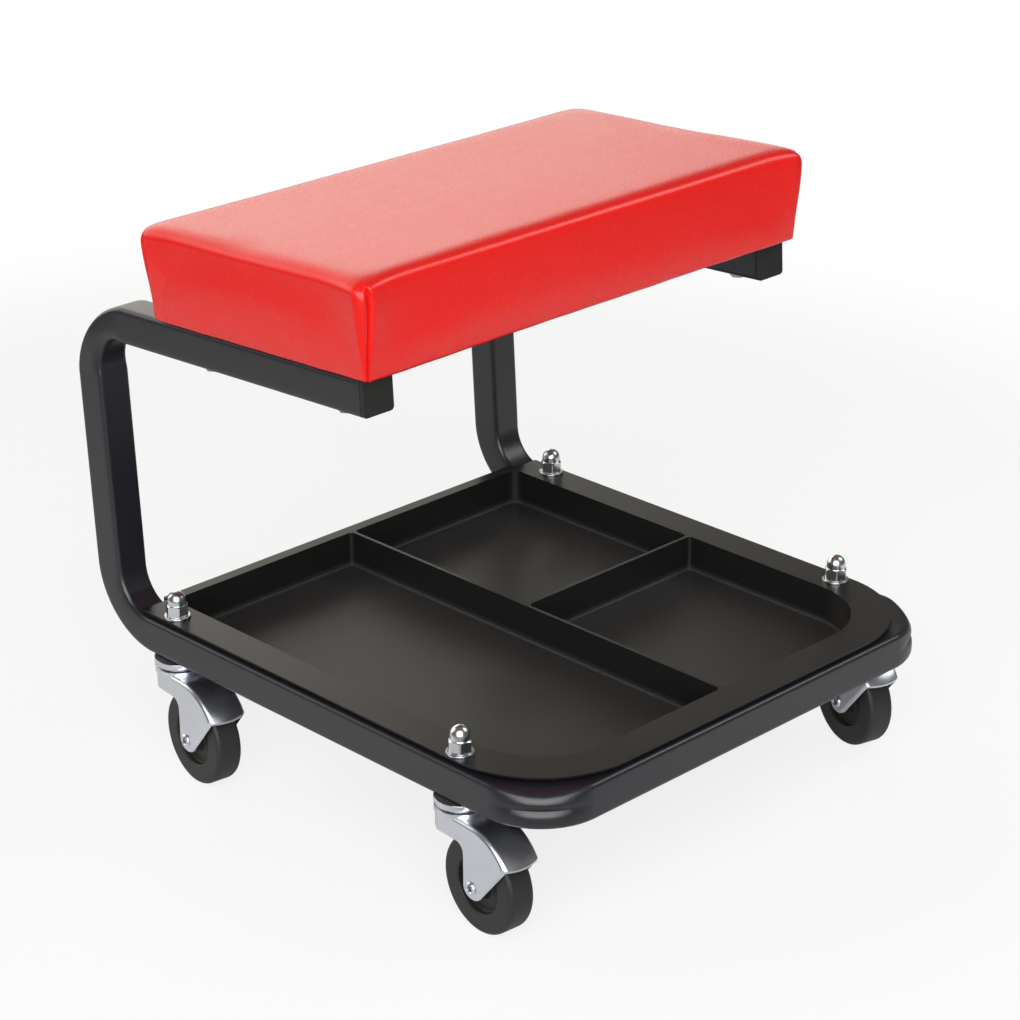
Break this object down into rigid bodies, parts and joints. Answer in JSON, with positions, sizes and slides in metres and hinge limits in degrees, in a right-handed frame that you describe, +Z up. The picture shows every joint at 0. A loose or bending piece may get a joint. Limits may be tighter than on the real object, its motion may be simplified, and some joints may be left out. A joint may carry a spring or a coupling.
{
  "type": "creeper seat",
  "caption": "Rolling mechanic's creeper seat: padded seat on a bent square tube frame with a divided tool tray low down and swivel casters.",
  "frame": {"origin": "On the ground under the middle of the whole seat.", "axes": "+Z up, the arms' free ends and the front rail point to -Y, the uprights stand at +Y, +X is the side with the crossed tray divider."},
  "size_m": [0.4124, 0.4532, 0.4176],
  "materials": {
    "black_frame": "satin black powder coat",
    "cap_plastic": "moulded black plastic",
    "tray_plastic": "fine grained black plastic",
    "red_vinyl": "semi-gloss grained vinyl",
    "foam": "open cell foam",
    "plywood": "raw plywood",
    "zinc_steel": "zinc plated",
    "bright_nut": "bright plated",
    "fork_zinc": "bright zinc plated pressed steel",
    "ball_steel": "polished steel",
    "wheel_black": "hard black rubber"
  },
  "bodies": {
    "frame": {"frame_tube": "black_frame", "arm_end_cap_left": "cap_plastic", "arm_end_cap_right": "cap_plastic", "tool_tray": "tray_plastic", "seat_cover": "red_vinyl", "seat_foam": "foam", "seat_board": "plywood", "seat_bolts": "zinc_steel", "seat_bolt_washers": "zinc_steel", "seat_tee_nuts": "zinc_steel", "cover_staples": "zinc_steel", "nut_washers": "bright_nut", "acorn_nuts": "bright_nut", "stem_front_left": "zinc_steel", "upper_race_front_left": "bright_nut", "stem_front_right": "zinc_steel", "upper_race_front_right": "bright_nut", "stem_rear_left": "zinc_steel", "upper_race_rear_left": "bright_nut", "stem_rear_right": "zinc_steel", "upper_race_rear_right": "bright_nut"},
    "swivel_front_left": {"fork_front_left": "fork_zinc", "bearing_balls_front_left": "ball_steel", "axle_front_left": "fork_zinc"},
    "roller_front_left": {"wheel_front_left": "wheel_black", "wheel_bush_front_left": "ball_steel"},
    "swivel_front_right": {"fork_front_right": "fork_zinc", "bearing_balls_front_right": "ball_steel", "axle_front_right": "fork_zinc"},
    "roller_front_right": {"wheel_front_right": "wheel_black", "wheel_bush_front_right": "ball_steel"},
    "swivel_rear_left": {"fork_rear_left": "fork_zinc", "bearing_balls_rear_left": "ball_steel", "axle_rear_left": "fork_zinc"},
    "roller_rear_left": {"wheel_rear_left": "wheel_black", "wheel_bush_rear_left": "ball_steel"},
    "swivel_rear_right": {"fork_rear_right": "fork_zinc", "bearing_balls_rear_right": "ball_steel", "axle_rear_right": "fork_zinc"},
    "roller_rear_right": {"wheel_rear_right": "wheel_black", "wheel_bush_rear_right": "ball_steel"}
  },
  "joints": [
    {"name": "swivel_front_left", "type": "hinge", "parent": "frame", "child": "swivel_front_left", "pos_m": [-0.18505, -0.14132, 0.08], "axis": [0, 0, 1], "continuous": true},
    {"name": "roll_front_left", "type": "hinge", "parent": "swivel_front_left", "child": "roller_front_left", "pos_m": [-0.1871, -0.16854, 0.034], "axis": [0.9972, -0.075, 0], "continuous": true},
    {"name": "swivel_front_right", "type": "hinge", "parent": "frame", "child": "swivel_front_right", "pos_m": [0.18505, -0.14132, 0.08], "axis": [0, 0, 1], "continuous": true},
    {"name": "roll_front_right", "type": "hinge", "parent": "swivel_front_right", "child": "roller_front_right", "pos_m": [0.17826, -0.16776, 0.034], "axis": [0.9686, -0.2487, 0], "continuous": true},
    {"name": "swivel_rear_left", "type": "hinge", "parent": "frame", "child": "swivel_rear_left", "pos_m": [-0.18505, 0.14568, 0.08], "axis": [0, 0, 1], "continuous": true},
    {"name": "roll_rear_left", "type": "hinge", "parent": "swivel_rear_left", "child": "roller_rear_left", "pos_m": [-0.18809, 0.11855, 0.034], "axis": [0.9938, -0.1115, 0], "continuous": true},
    {"name": "swivel_rear_right", "type": "hinge", "parent": "frame", "child": "swivel_rear_right", "pos_m": [0.18505, 0.14568, 0.08], "axis": [0, 0, 1], "continuous": true},
    {"name": "roll_rear_right", "type": "hinge", "parent": "swivel_rear_right", "child": "roller_rear_right", "pos_m": [0.18809, 0.11855, 0.034], "axis": [0.9938, 0.1115, 0], "continuous": true}
  ]
}
